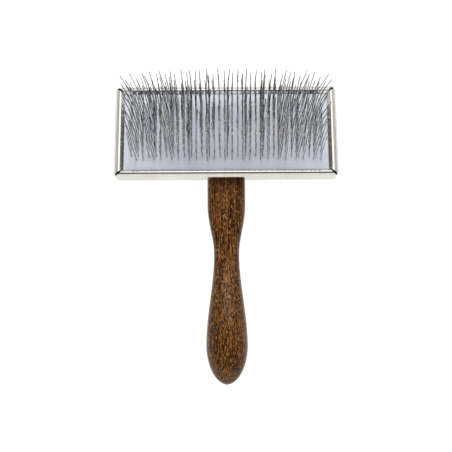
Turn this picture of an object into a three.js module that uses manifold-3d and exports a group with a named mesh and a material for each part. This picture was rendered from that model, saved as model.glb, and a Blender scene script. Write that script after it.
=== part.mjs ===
// A slicker brush for grooming, lying on its back with the wire pins up.
// Millimetres. X runs across the head, Y from the end of the handle towards the head, Z up.
// The brush rests on the flat underside of the handle's tongue and on the belly of the handle.
import * as THREE from 'three';
import { mergeVertices } from 'three/addons/utils/BufferGeometryUtils.js';
import Module from 'manifold-3d';

const wasm = await Module();
wasm.setup();

const { clamp, degToRad, lerp, smoothstep } = THREE.MathUtils;

// ---------------------------------------------------------------- driving dimensions

// Head: a pressed tray that holds the pad. It leans back from the handle.
const HEAD_WIDTH = 118.5;
const HEAD_DEPTH = 51.47;
const HEAD_TILT = degToRad(10);
const SEAT_HEIGHT = 13;
const SHEET = 0.6;
const CORNER_RADIUS = 3;
const FLOOR_RADIUS = 2;
const INNER_CORNER = 0.4;

// Lip: the wall's top edge rolled inwards over a shoulder and down on to the pad, as a skirt.
// The roll turns sharply off the wall, slowly over a bevel and sharply on to its crest. Its angles
// are those of the outer face's normal from upright.
const LIP_WIDTH = 4.3;
const ROLL_ARCS = [
  { from: degToRad(90), to: degToRad(56), radius: 0.7 },
  { from: degToRad(56), to: degToRad(34), radius: 6 },
  { from: degToRad(34), to: 0, radius: 1 },
];
const SHOULDER = 0.45;
const SHOULDER_SLOPE = degToRad(8);
const SKIRT_BEND = 0.9;
const SKIRT_SLOPE = degToRad(52);
const SIDE_LIP_WIDTH = 5.2;
const SIDE_ROLL_WIDTH = 2.5;
const SIDE_SHOULDER = 0.75;
const MITRE_GAP = 1.1;
const MITRE_LAND = 0.9;
const MITRE_END = 4.2;
const MITRE_DEPTH = 3;
const MITRE_WIDE_AT = 0.2;
const MITRE_NARROW_AT = 0.6;
const MITRE_NARROWING = 0.8;

// Layers in the tray, from its floor up, with a fitting gap between neighbours.
const GAP = 0.1;
const SIDE_GAP = 0.3;
const PAD_CORNER = 9;
const LINER_THICK = 1.2;
const FOAM_THICK = 2.17;
const CLOTH_THICK = 0.6;
const RUBBER_THICK = 0.7;

// Wire staples: each has two legs, and the rows step sideways in turn.
const ROWS = 18;
const FIRST_ROW = 10.05;
const ROW_PITCH = 1.88;
const STAPLES = 11;
const STAPLE_PITCH = 9.355;
const LEG_SPACING = 3.65;
const ROW_STEP = 2.5;
const WIRE = 0.5;
const WIRE_CORNER = 0.3;
const CROWN_WIDTH = 0.8;
const KNEE_LENGTH = 11.5;
const TIP_LENGTH = 12.5;
const KNEE_LEAN = degToRad(9);
const TIP_LEAN = degToRad(39);
const SIDE_LEAN_LOSS = 0.65;
const SIDE_LOSS_POWER = 3;
const CROWN_LEAN = degToRad(5);
const LEG_SPLAY = degToRad(1.2);
const FAN = degToRad(23);
const FAN_POWER = 1.4;
const FIRST_ROW_FAN = 0.12;
const FAN_GROWTH = 1.3;
const KNEE_TUCK = degToRad(2.5);
const EDGE_SPREAD = degToRad(4);
const EDGE_POWER = 8;

// Screws that hold the tray to the tongue of the handle.
const SCREW_STATIONS = [12, 25, 38];
const SCREW_HEAD_RADIUS = 3.1;
const SCREW_HEAD_HEIGHT = 1;
const SCREW_FACE_RADIUS = 2.48;
const SCREW_RADIUS = 1.4;
const SCREW_LENGTH = 5;
const SCREW_TIP = 1.5;
const SCREW_CLEARANCE = 0.2;

// Handle: distances along Y are from the near edge of the tray.
const NECK_HALF_WIDTH = 10.07;
const WAIST_HALF_WIDTH = 6.7;
const BELLY_HALF_WIDTH = 10.95;
const NECK_Y = -13.23;
const WAIST_Y = -38.43;
const BELLY_Y = -86.53;
const HANDLE_END_Y = -107.03;
const TONGUE_END_Y = 45;
const TONGUE_BASE = -1.2;
const NECK_TOP = 12.85;
const WAIST_TOP = 12.6;
const WAIST_BASE = 1.4;
const BELLY_TOP = 18.4;
const BELLY_BASE = 0;
const NECK_SQUARENESS = 4.5;
const WAIST_SQUARENESS = 3.15;
const BELLY_SQUARENESS = 2.3;
const END_BLUNTNESS = 0.53;
const TIP_RADIUS = 0.4;

// ---------------------------------------------------------------- derived heights

const LINER_BASE = SHEET + GAP;
const FOAM_BASE = LINER_BASE + LINER_THICK + GAP;
const STAPLE_BASE = FOAM_BASE + FOAM_THICK + GAP;
const CLOTH_BASE = STAPLE_BASE + WIRE + GAP;
const RUBBER_BASE = CLOTH_BASE + CLOTH_THICK + GAP;
const RUBBER_TOP = RUBBER_BASE + RUBBER_THICK;
const ROLL_WIDTH = ROLL_ARCS.reduce(
  (sum, { from, to, radius }) => sum + radius * (Math.sin(from) - Math.sin(to)),
  0,
);
const ROLL_HEIGHT = ROLL_ARCS.reduce(
  (sum, { from, to, radius }) => sum + radius * (Math.cos(to) - Math.cos(from)),
  0,
);
const SKIRT_RUN = LIP_WIDTH - ROLL_WIDTH - SHOULDER
  - SKIRT_BEND * (Math.sin(SKIRT_SLOPE) - Math.sin(SHOULDER_SLOPE));
const LIP_DROP = SHOULDER * Math.tan(SHOULDER_SLOPE)
  + SKIRT_BEND * (Math.cos(SHOULDER_SLOPE) - Math.cos(SKIRT_SLOPE))
  + SKIRT_RUN * Math.tan(SKIRT_SLOPE);
const LIP_CREST = RUBBER_TOP + GAP + LIP_DROP + SHEET * Math.cos(SKIRT_SLOPE);

// ---------------------------------------------------------------- materials

function material(color, roughness, metalness) {
  return new THREE.MeshStandardMaterial({ color, roughness, metalness });
}

const STAINED_BEECH = material(0x5c3a22, 0.5, 0);
const NICKEL = material(0xc9c4bb, 0.22, 1);
const STEEL_WIRE = material(0x8d8f94, 0.35, 1);
const SCREW_STEEL = material(0xa9a9a6, 0.4, 1);
const BLUE_GREY_RUBBER = material(0xbfc5d6, 0.75, 0);
const WOVEN_COTTON = material(0xcfc6b2, 0.95, 0);
const FOAM_RUBBER = material(0xd9d2b8, 0.95, 0);
const FIBREBOARD = material(0x8a7458, 0.9, 0);

// ---------------------------------------------------------------- solids

// A closed skin over rings of equal length. Each ring turns anticlockwise as seen from ahead.
function loft(rings) {
  const count = rings[0].length;
  const index = [];
  for (let r = 0; r < rings.length - 1; r += 1) {
    for (let i = 0; i < count; i += 1) {
      const j = (i + 1) % count;
      const [a, b] = [r * count + i, r * count + j];
      index.push(a, b, b + count, a, b + count, a + count);
    }
  }
  const last = (rings.length - 1) * count;
  for (let i = 1; i < count - 1; i += 1) {
    index.push(0, i + 1, i);
    index.push(last, last + i, last + i + 1);
  }
  const geometry = new THREE.BufferGeometry();
  const positions = rings.flat().flatMap((point) => point.toArray());
  geometry.setAttribute('position', new THREE.Float32BufferAttribute(positions, 3));
  geometry.setIndex(index);
  return geometry;
}

function toSolid(geometry) {
  const bare = geometry.clone();
  bare.deleteAttribute('normal');
  bare.deleteAttribute('uv');
  const merged = mergeVertices(bare);
  return new wasm.Manifold(new wasm.Mesh({
    numProp: 3,
    vertProperties: Float32Array.from(merged.attributes.position.array),
    triVerts: Uint32Array.from(merged.index.array),
  }));
}

function toGeometry(solid) {
  const mesh = solid.getMesh();
  const geometry = new THREE.BufferGeometry();
  geometry.setAttribute('position', new THREE.Float32BufferAttribute(mesh.vertProperties, 3));
  geometry.setIndex(Array.from(mesh.triVerts));
  return geometry;
}

function joinAll(solids) {
  return solids.reduce((sum, solid) => sum.add(solid));
}

function boxSolid(xLow, xHigh, yLow, yHigh, zLow, zHigh) {
  const box = new THREE.BoxGeometry(xHigh - xLow, yHigh - yLow, zHigh - zLow);
  box.translate((xLow + xHigh) / 2, (yLow + yHigh) / 2, (zLow + zHigh) / 2);
  return toSolid(box);
}

function part(name, geometry, surface) {
  const mesh = new THREE.Mesh(geometry, surface);
  mesh.name = name;
  return mesh;
}

// ---------------------------------------------------------------- head frame
// Inside the head, x runs across, y from the near edge of the tray and z up from its underside.

function headMatrix() {
  const tilt = new THREE.Matrix4().makeRotationX(-HEAD_TILT);
  return tilt.setPosition(0, 0, SEAT_HEIGHT);
}

// The inset on the short sides of the tray, whose lips are wider, for one on its long sides.
function sideInset(inset) {
  const stations = [
    [SHEET + SIDE_GAP, SHEET + SIDE_GAP],
    [ROLL_WIDTH, SIDE_ROLL_WIDTH],
    [ROLL_WIDTH + SHOULDER, SIDE_ROLL_WIDTH + SIDE_SHOULDER],
    [LIP_WIDTH, SIDE_LIP_WIDTH],
  ];
  let placed = Math.min(inset, SHEET + SIDE_GAP);
  for (let k = 1; k < stations.length; k += 1) {
    const [[low, sideLow], [high, sideHigh]] = stations.slice(k - 1, k + 1);
    placed += clamp((inset - low) / (high - low), 0, 1) * (sideHigh - sideLow);
  }
  return placed;
}

// A rounded rectangle as large as the tray, drawn in by the inset, at one height.
function trayRing(inset, z, radius = Math.max(CORNER_RADIUS - inset, INNER_CORNER)) {
  const halfX = HEAD_WIDTH / 2 - sideInset(inset) - radius;
  const halfY = HEAD_DEPTH / 2 - inset - radius;
  const arcSteps = 4;
  const ring = [];
  for (let corner = 0; corner < 4; corner += 1) {
    const signX = corner === 0 || corner === 3 ? 1 : -1;
    const signY = corner < 2 ? 1 : -1;
    for (let k = 0; k <= arcSteps; k += 1) {
      const angle = (corner + k / arcSteps) * (Math.PI / 2);
      const x = signX * halfX + radius * Math.cos(angle);
      const y = HEAD_DEPTH / 2 + signY * halfY + radius * Math.sin(angle);
      ring.push(new THREE.Vector3(x, y, z));
    }
  }
  return ring;
}

function layerPlate(base, thickness, inset, radius) {
  return loft([trayRing(inset, base, radius), trayRing(inset, base + thickness, radius)]);
}

// A layer of the pad, whose corners are cut round.
function padLayer(base, thickness) {
  return layerPlate(base, thickness, SHEET + SIDE_GAP, PAD_CORNER);
}

// ---------------------------------------------------------------- frame pan

// Quarter round between the floor and the wall, from the floor up.
function floorRound(radius) {
  const steps = 3;
  const points = [];
  for (let k = 0; k <= steps; k += 1) {
    const angle = (k / steps) * (Math.PI / 2);
    points.push([FLOOR_RADIUS - radius * Math.sin(angle), FLOOR_RADIUS - radius * Math.cos(angle)]);
  }
  return points;
}

// The roll, from the wall to the crest, for one face of the sheet.
function rollCurve(depthInSheet) {
  const steps = 2;
  const points = [];
  let [centreInset, centreZ] = [ROLL_ARCS[0].radius, LIP_CREST - ROLL_HEIGHT];
  ROLL_ARCS.forEach(({ from, to, radius }, k) => {
    if (k > 0) {
      const shift = ROLL_ARCS[k - 1].radius - radius;
      centreInset -= shift * Math.sin(from);
      centreZ += shift * Math.cos(from);
    }
    for (let step = k === 0 ? 0 : 1; step <= steps; step += 1) {
      const angle = lerp(from, to, step / steps);
      points.push([
        centreInset - (radius - depthInSheet) * Math.sin(angle),
        centreZ + (radius - depthInSheet) * Math.cos(angle),
      ]);
    }
  });
  return points;
}

// The lip, from the wall over the crest to its inner edge, for one face of the sheet.
function lipCurve(depthInSheet) {
  const points = rollCurve(depthInSheet);
  const bendRadius = SKIRT_BEND - depthInSheet;
  const bendSteps = 3;
  const bendInset = ROLL_WIDTH + SHOULDER - SKIRT_BEND * Math.sin(SHOULDER_SLOPE);
  const bendZ = LIP_CREST - SHOULDER * Math.tan(SHOULDER_SLOPE)
    - SKIRT_BEND * Math.cos(SHOULDER_SLOPE);
  for (let k = 0; k <= bendSteps; k += 1) {
    const angle = lerp(SHOULDER_SLOPE, SKIRT_SLOPE, k / bendSteps);
    points.push([
      bendInset + bendRadius * Math.sin(angle),
      bendZ + bendRadius * Math.cos(angle),
    ]);
  }
  const [inset, z] = points.at(-1);
  points.push([inset + SKIRT_RUN, z - SKIRT_RUN * Math.tan(SKIRT_SLOPE)]);
  return points;
}

function panSkin() {
  const outside = [...floorRound(FLOOR_RADIUS), ...lipCurve(0)];
  const inside = [...floorRound(FLOOR_RADIUS - SHEET), ...lipCurve(SHEET)].reverse();
  return loft([...outside, ...inside].map(([inset, z]) => trayRing(inset, z)));
}

// The open mitre where two lips meet: a slit through the lips, widest near the outside.
function mitreSlit(signX, signY) {
  const start = new THREE.Vector2(MITRE_LAND, MITRE_LAND);
  const end = new THREE.Vector2(MITRE_END, MITRE_END);
  const side = new THREE.Vector2(-1, 1).setLength(MITRE_GAP / 2);
  const wide = start.clone().lerp(end, MITRE_WIDE_AT);
  const narrow = start.clone().lerp(end, MITRE_NARROW_AT);
  const outline = [
    start,
    wide.clone().sub(side),
    narrow.clone().addScaledVector(side, -MITRE_NARROWING),
    end,
    narrow.clone().addScaledVector(side, MITRE_NARROWING),
    wide.clone().add(side),
  ];
  const placed = outline.map(({ x, y }) => new THREE.Vector2(
    signX * (HEAD_WIDTH / 2 - sideInset(x)),
    HEAD_DEPTH / 2 + signY * (HEAD_DEPTH / 2 - y),
  ));
  const slit = new THREE.ExtrudeGeometry(new THREE.Shape(placed), {
    depth: MITRE_DEPTH + SHEET,
    bevelEnabled: false,
  });
  slit.translate(0, 0, LIP_CREST - MITRE_DEPTH);
  return toSolid(slit);
}

function drill(y, radius, zLow, zHigh) {
  const hole = new THREE.CylinderGeometry(radius, radius, zHigh - zLow, 16);
  hole.rotateX(Math.PI / 2);
  hole.translate(0, y, (zLow + zHigh) / 2);
  return toSolid(hole);
}

function framePan() {
  const slits = [[1, 1], [1, -1], [-1, 1], [-1, -1]].map(([sx, sy]) => mitreSlit(sx, sy));
  const holeRadius = SCREW_RADIUS + SCREW_CLEARANCE;
  const holes = SCREW_STATIONS.map((y) => drill(y, holeRadius, -1, SHEET + 1));
  const solid = toSolid(panSkin()).subtract(joinAll([...slits, ...holes]));
  return part('frame_pan', toGeometry(solid), NICKEL);
}

// ---------------------------------------------------------------- screws and layers

function woodScrew(name, y) {
  const shankEnd = SHEET + GAP - SCREW_LENGTH;
  const profile = [
    new THREE.Vector2(0, shankEnd),
    new THREE.Vector2(SCREW_RADIUS, shankEnd + SCREW_TIP),
    new THREE.Vector2(SCREW_RADIUS, SHEET + GAP),
    new THREE.Vector2(SCREW_HEAD_RADIUS, SHEET + GAP),
    new THREE.Vector2(SCREW_FACE_RADIUS, SHEET + GAP + SCREW_HEAD_HEIGHT),
    new THREE.Vector2(0, SHEET + GAP + SCREW_HEAD_HEIGHT),
  ];
  const screw = new THREE.LatheGeometry(profile, 16);
  screw.rotateX(Math.PI / 2);
  screw.translate(0, y, 0);
  return part(name, toGeometry(toSolid(screw)), SCREW_STEEL);
}

function linerBoard() {
  const radius = SCREW_HEAD_RADIUS + SIDE_GAP;
  const top = LINER_BASE + LINER_THICK;
  const holes = SCREW_STATIONS.map((y) => drill(y, radius, LINER_BASE - 1, top + 1));
  const plate = layerPlate(LINER_BASE, LINER_THICK, FLOOR_RADIUS);
  const solid = toSolid(plate).subtract(joinAll(holes));
  return part('liner_board', toGeometry(solid), FIBREBOARD);
}

function foamCushion() {
  return part('foam_cushion', padLayer(FOAM_BASE, FOAM_THICK), FOAM_RUBBER);
}

// ---------------------------------------------------------------- wire staples

function rowY(row) {
  return FIRST_ROW + row * ROW_PITCH;
}

function stapleX(row, staple) {
  const step = row % 2 === 0 ? ROW_STEP / 2 : -ROW_STEP / 2;
  return (staple - (STAPLES - 1) / 2) * STAPLE_PITCH + step;
}

// How far out a leg stands: 0 in the middle of the head, 1 at the outermost leg.
function outShare(x) {
  return Math.abs(x) / (((STAPLES - 1) * STAPLE_PITCH + LEG_SPACING + ROW_STEP) / 2);
}

// Lower parts stand in a little, but at the very sides they spread.
function kneeSway(x) {
  const share = outShare(x);
  return Math.sign(x) * (EDGE_SPREAD * share ** EDGE_POWER - KNEE_TUCK * share);
}

// Tips fan outwards, more towards the sides of the head and towards its far edge.
function tipFan(x, y) {
  const back = (y - rowY(0)) / (rowY(ROWS - 1) - rowY(0));
  const growth = lerp(FIRST_ROW_FAN, 1, back ** FAN_GROWTH);
  return Math.sign(x) * FAN * outShare(x) ** FAN_POWER * growth;
}

// Unit direction of a wire that leans away from the handle and out to the side.
function wireDirection(lean, fan) {
  return new THREE.Vector3(Math.tan(fan), Math.tan(lean), 1).normalize();
}

// Root under the cloth, knee and tip of one leg. The two legs of a staple splay a little.
function legPath(x, y, side) {
  const crown = CROWN_LEAN * (y / (HEAD_DEPTH / 2) - 1);
  const root = new THREE.Vector3(x, y, STAPLE_BASE + WIRE / 2);
  const kneeRise = RUBBER_TOP - root.z + KNEE_LENGTH;
  const knee = root.clone().addScaledVector(
    wireDirection(KNEE_LEAN + crown, kneeSway(x) + side * LEG_SPLAY),
    kneeRise,
  );
  const tipLean = TIP_LEAN * (1 - SIDE_LEAN_LOSS * outShare(x) ** SIDE_LOSS_POWER) + crown;
  const tipSway = tipFan(x, y) + side * LEG_SPLAY;
  const tip = knee.clone().addScaledVector(wireDirection(tipLean, tipSway), TIP_LENGTH);
  return [root, knee, tip];
}

// A leg has a three-sided section of about the round wire's area.
function leg(x, y, side) {
  const corners = [0, 1, 2].map((k) => (k / 3) * 2 * Math.PI);
  const rings = legPath(x, y, side).map((centre) => corners.map((angle) => new THREE.Vector3(
    centre.x + WIRE_CORNER * Math.cos(angle),
    centre.y + WIRE_CORNER * Math.sin(angle),
    centre.z,
  )));
  return toSolid(loft(rings));
}

// One row of staples. Their crowns lie end to end under the cloth as a single strip of wire.
function pinRow(row) {
  const y = rowY(row);
  const firstX = stapleX(row, 0) - LEG_SPACING / 2;
  const lastX = stapleX(row, STAPLES - 1) + LEG_SPACING / 2;
  const halfCrown = CROWN_WIDTH / 2;
  const solids = [boxSolid(firstX - halfCrown, lastX + halfCrown, y - halfCrown, y + halfCrown,
    STAPLE_BASE, STAPLE_BASE + WIRE)];
  for (let staple = 0; staple < STAPLES; staple += 1) {
    for (const side of [-1, 1]) {
      solids.push(leg(stapleX(row, staple) + side * LEG_SPACING / 2, y, side));
    }
  }
  const name = `pin_row_${String(row + 1).padStart(2, '0')}`;
  return part(name, toGeometry(joinAll(solids)), STEEL_WIRE);
}

// ---------------------------------------------------------------- foundation of the pad

// A slot under every row, as wide as the leaning wires need.
function rowSlot(row, clearance) {
  const y = rowY(row);
  const low = stapleX(row, 0) - LEG_SPACING / 2 - 3 * clearance;
  const high = stapleX(row, STAPLES - 1) + LEG_SPACING / 2 + 3 * clearance;
  return boxSolid(low, high, y - clearance, y + 2 * clearance,
    CLOTH_BASE - 1, CLOTH_BASE + CLOTH_THICK + 1);
}

function foundationCloth() {
  const slots = Array.from({ length: ROWS }, (_, row) => rowSlot(row, WIRE));
  const solid = toSolid(padLayer(CLOTH_BASE, CLOTH_THICK)).subtract(joinAll(slots));
  return part('foundation_cloth', toGeometry(solid), WOVEN_COTTON);
}

// A slit for the two legs of one staple.
function stapleSlit(row, staple, clearance) {
  const x = stapleX(row, staple);
  const y = rowY(row);
  const reach = LEG_SPACING / 2 + 2 * clearance;
  return boxSolid(x - reach, x + reach, y - clearance, y + 2 * clearance,
    RUBBER_BASE - 1, RUBBER_TOP + 1);
}

function rubberFace() {
  const slits = [];
  for (let row = 0; row < ROWS; row += 1) {
    for (let staple = 0; staple < STAPLES; staple += 1) {
      slits.push(stapleSlit(row, staple, WIRE));
    }
  }
  const solid = toSolid(padLayer(RUBBER_BASE, RUBBER_THICK)).subtract(joinAll(slits));
  return part('rubber_face', toGeometry(solid), BLUE_GREY_RUBBER);
}

// ---------------------------------------------------------------- handle

// Blends neck, waist and belly values of a profile along the handle.
function alongHandle(y, neck, waist, belly) {
  if (y > WAIST_Y) {
    return lerp(neck, waist, smoothstep(-y, -NECK_Y, -WAIST_Y));
  }
  return lerp(waist, belly, smoothstep(-y, -WAIST_Y, -BELLY_Y));
}

// How much of the full section is left in the round ends: 1 along the handle, 0 at its ends.
function endTaper(y) {
  if (y < BELLY_Y) {
    const share = (BELLY_Y - y) / (BELLY_Y - HANDLE_END_Y);
    return Math.max(1 - share * share, 0) ** END_BLUNTNESS;
  }
  const tongueRoundY = TONGUE_END_Y - NECK_HALF_WIDTH;
  if (y > tongueRoundY) {
    const share = (y - tongueRoundY) / NECK_HALF_WIDTH;
    return Math.sqrt(Math.max(1 - share * share, 0));
  }
  return 1;
}

function handleRing(y) {
  const taper = endTaper(y);
  const top = alongHandle(y, NECK_TOP, WAIST_TOP, BELLY_TOP);
  const base = alongHandle(y, TONGUE_BASE, WAIST_BASE, BELLY_BASE);
  const squareness = alongHandle(y, NECK_SQUARENESS, WAIST_SQUARENESS, BELLY_SQUARENESS);
  const heightTaper = y < 0 ? taper : 1;
  const halfWidth = Math.max(alongHandle(y, NECK_HALF_WIDTH, WAIST_HALF_WIDTH, BELLY_HALF_WIDTH)
    * taper, TIP_RADIUS);
  const halfHeight = Math.max(((top - base) / 2) * heightTaper, TIP_RADIUS);
  const sides = 24;
  const ring = [];
  for (let k = 0; k < sides; k += 1) {
    const angle = (k / sides) * 2 * Math.PI;
    const c = Math.cos(angle);
    const s = Math.sin(angle);
    const x = -halfWidth * Math.sign(c) * Math.abs(c) ** (2 / squareness);
    const z = (top + base) / 2 + halfHeight * Math.sign(s) * Math.abs(s) ** (2 / squareness);
    ring.push(new THREE.Vector3(x, y, z));
  }
  return ring;
}

// Stations along the handle, closer together in the round ends.
function handleStations() {
  const stations = [];
  const endSteps = 8;
  for (let k = 0; k < endSteps; k += 1) {
    const angle = (k / endSteps) * (Math.PI / 2);
    stations.push(lerp(BELLY_Y, HANDLE_END_Y, Math.cos(angle)));
  }
  const barrelSteps = 13;
  for (let k = 0; k <= barrelSteps; k += 1) {
    stations.push(lerp(BELLY_Y, NECK_Y, k / barrelSteps));
  }
  const tongueRoundY = TONGUE_END_Y - NECK_HALF_WIDTH;
  const tongueSteps = 6;
  for (let k = 0; k <= tongueSteps; k += 1) {
    const angle = (k / tongueSteps) * (Math.PI / 2);
    stations.push(lerp(tongueRoundY, TONGUE_END_Y, Math.sin(angle)));
  }
  return stations;
}

function handle() {
  const blank = toSolid(loft(handleStations().map(handleRing)));
  const room = HEAD_WIDTH;
  const seat = boxSolid(-room, room, -GAP, room, -GAP, room);
  const holeRadius = SCREW_RADIUS + SCREW_CLEARANCE;
  const holeDepth = SCREW_LENGTH - SHEET + SCREW_CLEARANCE;
  const holes = SCREW_STATIONS.map((y) => drill(y, holeRadius, -holeDepth, 1));
  const headCut = joinAll([seat, ...holes]).transform(headMatrix().toArray());
  const floorCut = boxSolid(-room, room, WAIST_Y, room, -room, 0);
  return part('handle', toGeometry(blank.subtract(headCut).subtract(floorCut)), STAINED_BEECH);
}

// ---------------------------------------------------------------- assembly

// The frame's origin lies under the middle of the whole brush.
function centreY() {
  const lastRow = rowY(ROWS - 1);
  const outer = stapleX(0, STAPLES - 1);
  const tips = [0, outer].map((x) => legPath(x, lastRow, 0)[2]);
  const reach = Math.max(...tips.map((tip) => tip.applyMatrix4(headMatrix()).y));
  return (reach + HANDLE_END_Y) / 2;
}

const head = new THREE.Group();
head.position.z = SEAT_HEIGHT;
head.rotation.x = -HEAD_TILT;
head.add(framePan(), linerBoard(), foamCushion(), foundationCloth(), rubberFace());
SCREW_STATIONS.forEach((y, k) => head.add(woodScrew(`wood_screw_${k + 1}`, y)));
for (let row = 0; row < ROWS; row += 1) {
  head.add(pinRow(row));
}

const group = new THREE.Group();
group.position.y = -centreY();
group.add(handle(), head);

export default group;
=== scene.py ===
"""The looks of a slicker brush that lies on its back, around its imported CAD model.

Lengths are in metres, written as millimetres times MM, and scales are per metre. The row frame has
X across the head, Y from the end of the handle towards the head and Z up. Inside the head, x runs
across, v from the near edge of the pan to its far edge, and w from the pan's underside up, square
to the pad.
"""

import math
import random
from collections import namedtuple

import bmesh
import bpy
import numpy as np
from mathutils import Matrix, Vector, noise


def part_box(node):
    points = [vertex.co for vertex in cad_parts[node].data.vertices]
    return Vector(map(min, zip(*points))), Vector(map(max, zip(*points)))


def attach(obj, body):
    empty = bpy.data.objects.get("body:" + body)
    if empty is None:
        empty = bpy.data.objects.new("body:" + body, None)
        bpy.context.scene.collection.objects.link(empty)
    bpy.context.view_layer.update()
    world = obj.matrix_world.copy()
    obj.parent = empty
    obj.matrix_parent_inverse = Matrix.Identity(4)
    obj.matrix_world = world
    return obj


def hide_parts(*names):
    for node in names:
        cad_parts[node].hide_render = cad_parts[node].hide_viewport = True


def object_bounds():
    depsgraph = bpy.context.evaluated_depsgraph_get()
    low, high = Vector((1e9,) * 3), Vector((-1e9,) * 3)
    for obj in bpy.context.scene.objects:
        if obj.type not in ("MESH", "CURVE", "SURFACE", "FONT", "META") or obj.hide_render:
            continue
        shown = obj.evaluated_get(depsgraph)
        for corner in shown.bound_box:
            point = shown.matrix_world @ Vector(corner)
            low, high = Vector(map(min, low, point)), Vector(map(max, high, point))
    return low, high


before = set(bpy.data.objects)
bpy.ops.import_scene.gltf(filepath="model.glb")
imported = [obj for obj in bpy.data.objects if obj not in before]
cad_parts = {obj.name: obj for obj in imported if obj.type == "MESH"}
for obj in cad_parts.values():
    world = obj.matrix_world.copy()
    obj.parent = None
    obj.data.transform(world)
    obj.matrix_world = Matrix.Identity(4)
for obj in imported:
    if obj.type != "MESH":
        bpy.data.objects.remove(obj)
cad_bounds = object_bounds()

MM = 0.001
TAU = 2 * math.pi
SHARP_ANGLE = math.radians(40)

# ------------------------------------------------------------------ sizes of the object

HEAD_WIDTH = 118.5 * MM
HEAD_DEPTH = 51.47 * MM
HEAD_TILT = math.radians(10)
SEAT_HEIGHT = 13 * MM
SHEET = 0.6 * MM
CORNER_RADIUS = 3 * MM
FLOOR_RADIUS = 2 * MM
INNER_CORNER = 0.4 * MM
LIP_WIDTH = 4.3 * MM
ROLL_ARCS = ((90, 56, 0.7 * MM), (56, 34, 6 * MM), (34, 0, 1 * MM))
LIP_CREST = 8.38 * MM
SHOULDER = 0.45 * MM
SHOULDER_SLOPE = math.radians(8)
SKIRT_BEND = 0.9 * MM
SKIRT_SLOPE = math.radians(52)
SIDE_LIP_WIDTH = 5.2 * MM
SIDE_ROLL_WIDTH = 2.5 * MM
SIDE_SHOULDER = 0.75 * MM
MITRE_GAP = 1.1 * MM
MITRE_LAND = 0.9 * MM
MITRE_END = 4.2 * MM
MITRE_DEPTH = 3 * MM
MITRE_WIDE_AT = 0.2
MITRE_NARROW_AT = 0.6
MITRE_NARROWING = 0.8

SIDE_GAP = 0.3 * MM
PAD_CORNER = 9 * MM
FOAM_BASE = 2 * MM
FOAM_THICK = 2.17 * MM
STAPLE_BASE = 4.27 * MM
CLOTH_BASE = 4.87 * MM
CLOTH_THICK = 0.6 * MM
RUBBER_BASE = 5.57 * MM
RUBBER_THICK = 0.7 * MM
RUBBER_TOP = RUBBER_BASE + RUBBER_THICK
PAD_CROWN = 0.9 * MM
CROWN_POWER_ACROSS = 6
CROWN_POWER_ALONG = 3
PLY_INSET = SHEET + SIDE_GAP
DENT_RADIUS = 0.55 * MM
DENT_DEPTH = 0.18 * MM
QUILT_HEIGHT = 0.05 * MM
QUILT_SCALE = 220
QUILT_ON_CROWN = 0.3 / MM
WEAVE_HEIGHT = 0.04 * MM
WEAVE_SCALE = 4200
FOAM_ROUGH_HEIGHT = 0.12 * MM
FOAM_ROUGH_SCALE = 900
FOAM_SINK = 0.1 * MM

ROWS = 18
FIRST_ROW = 10.05 * MM
ROW_PITCH = 1.88 * MM
STAPLES = 11
STAPLE_PITCH = 9.355 * MM
LEG_SPACING = 3.65 * MM
ROW_STEP = 2.5 * MM
WIRE = 0.5 * MM
KNEE_LENGTH = 11.5 * MM
TIP_LENGTH = 12.5 * MM
KNEE_BEND = 2.6 * MM
KNEE_LEAN = math.radians(9)
TIP_LEAN = math.radians(39)
SIDE_LEAN_LOSS = 0.65
SIDE_LOSS_POWER = 3
CROWN_LEAN = math.radians(5)
LEG_SPLAY = math.radians(1.2)
FAN = math.radians(23)
FAN_POWER = 1.4
FIRST_ROW_FAN = 0.12
FAN_GROWTH = 1.3
KNEE_TUCK = math.radians(2.5)
EDGE_SPREAD = math.radians(4)
EDGE_POWER = 8
HELD_SHARE = 0.4
FREE_HEIGHT = 1.5 * MM
GROUND_LENGTH = 0.25 * MM
GROUND_SHARE = 0.55

# Where the crown turns into a leg: wire thicknesses inwards and up from the leg's foot.
CROWN_TURN = ((0.5, 0.1), (0.12, 0.6))

# How far single legs and whole columns of legs stray from the nominal bends and lengths.
KNEE_LEAN_STRAY = math.radians(1.2)
TIP_LEAN_STRAY = math.radians(2.5)
KNEE_SWAY_STRAY = math.radians(0.35)
TIP_SWAY_STRAY = math.radians(2)
COLUMN_KNEE_STRAY = math.radians(0.8)
COLUMN_TIP_STRAY = math.radians(2)
FAN_SHARES = (0.8, 1.15)
KNEE_SHARES = (0.92, 1.06)
LENGTH_CHANGES = (-0.7 * MM, 0.1 * MM)
WIRE_SEED = 432

NECK_HALF_WIDTH = 10.07 * MM
WAIST_HALF_WIDTH = 6.7 * MM
BELLY_HALF_WIDTH = 10.95 * MM
NECK_Y = -13.23 * MM
WAIST_Y = -38.43 * MM
BELLY_Y = -86.53 * MM
HANDLE_END_Y = -107.03 * MM
TONGUE_END_Y = 45 * MM
TONGUE_BASE = -1.2 * MM
NECK_TOP = 12.85 * MM
WAIST_TOP = 12.6 * MM
WAIST_BASE = 1.4 * MM
BELLY_TOP = 18.4 * MM
BELLY_BASE = 0
NECK_SQUARENESS = 4.5
WAIST_SQUARENESS = 3.15
BELLY_SQUARENESS = 2.3
END_BLUNTNESS = 0.53
TIP_RADIUS = 0.4 * MM
TONGUE_ROUND_Y = TONGUE_END_Y - NECK_HALF_WIDTH
SEAT_GAP = 0.1 * MM
EDGE_SOFTENING = 0.1 * MM

SCREW_STATIONS = (12 * MM, 25 * MM, 38 * MM)
SCREW_HOLE_RADIUS = 1.61 * MM

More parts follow.
